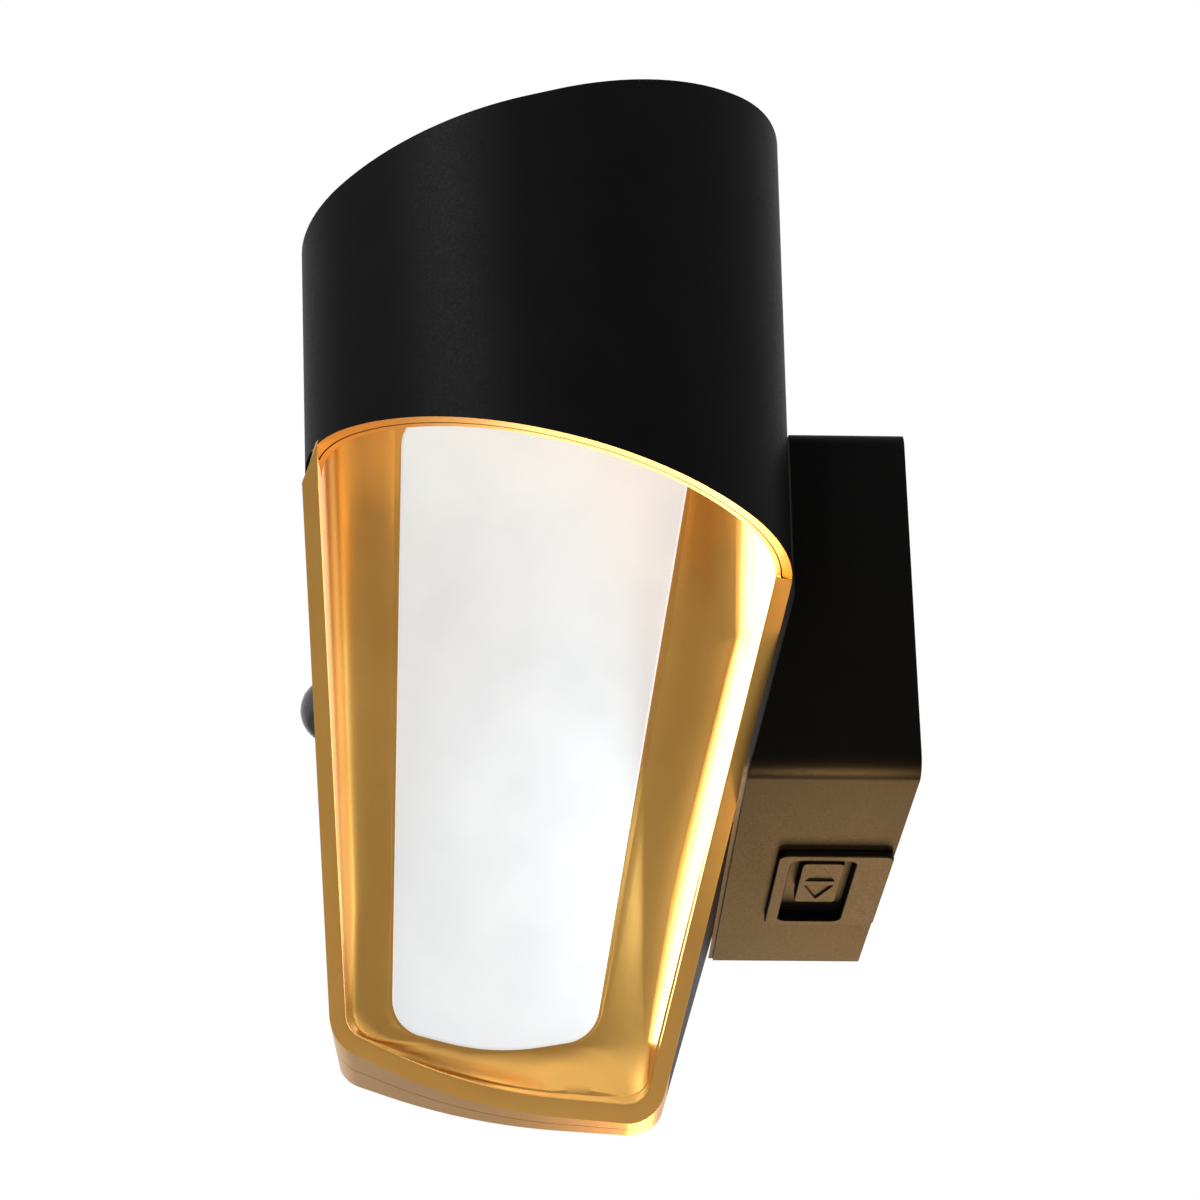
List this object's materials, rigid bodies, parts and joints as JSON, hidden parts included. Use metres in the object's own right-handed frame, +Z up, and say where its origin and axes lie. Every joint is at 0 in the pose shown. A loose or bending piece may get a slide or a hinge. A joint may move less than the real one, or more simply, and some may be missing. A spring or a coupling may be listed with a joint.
{
  "type": "solar wall light",
  "caption": "Outdoor solar wall light: a black oval head with a sloping solar top and gold-lined lit side openings, a motion sensor in front, and a wall box with a slide switch below.",
  "frame": {"origin": "on the wall, at the centre of the box's back face", "axes": "+Z up, +Y at the wall, X along the wall with the pictured side at +X"},
  "size_m": [0.189, 0.1157, 0.1796],
  "materials": {
    "black_paint": "fine matte black",
    "black_plastic": "moulded black",
    "box_plastic": "fine matte black",
    "panel_glass": "clear, smooth",
    "silicon": "dark blue cells with fine lines",
    "white_plastic": "plain white",
    "seal_rubber": "soft black",
    "screw_steel": "zinc plated",
    "gold": "metallic gold lacquer with a fine grain",
    "opal": "opal white, lit from behind",
    "white_board": "white solder mask",
    "led_yellow": "phosphor yellow",
    "lens_plastic": "dark smooth dome",
    "green_board": "green solder mask",
    "battery_wrap": "shrink wrap"
  },
  "bodies": {
    "lamp": {"outer_shell": "black_paint", "panel_frame": "black_plastic", "solar_glass": "panel_glass", "solar_cells": "silicon", "solar_back_sheet": "white_plastic", "panel_gasket": "seal_rubber", "panel_screws": "screw_steel", "reflector_right": "gold", "reflector_left": "gold", "diffuser_right": "opal", "diffuser_left": "opal", "led_board_right": "white_board", "led_board_left": "white_board", "leds_right": "led_yellow", "leds_left": "led_yellow", "led_board_screws": "screw_steel", "sensor_lens": "lens_plastic", "sensor_shroud": "black_plastic", "sensor_can": "screw_steel", "control_board": "green_board", "control_board_screws": "screw_steel", "battery": "battery_wrap", "battery_holder": "black_plastic", "battery_contacts": "screw_steel", "holder_screws": "screw_steel", "wall_box": "box_plastic", "head_seal": "seal_rubber", "head_screws": "screw_steel", "back_cover": "black_plastic", "cover_screws": "screw_steel", "switch_plate": "black_plastic", "switch_body": "white_plastic"},
    "slider": {"switch_slider": "black_plastic"}
  },
  "joints": [
    {"name": "switch_slide", "type": "slide", "parent": "lamp", "child": "slider", "axis": [-1, 0, 0], "range_m": [0, 0.012]}
  ]
}
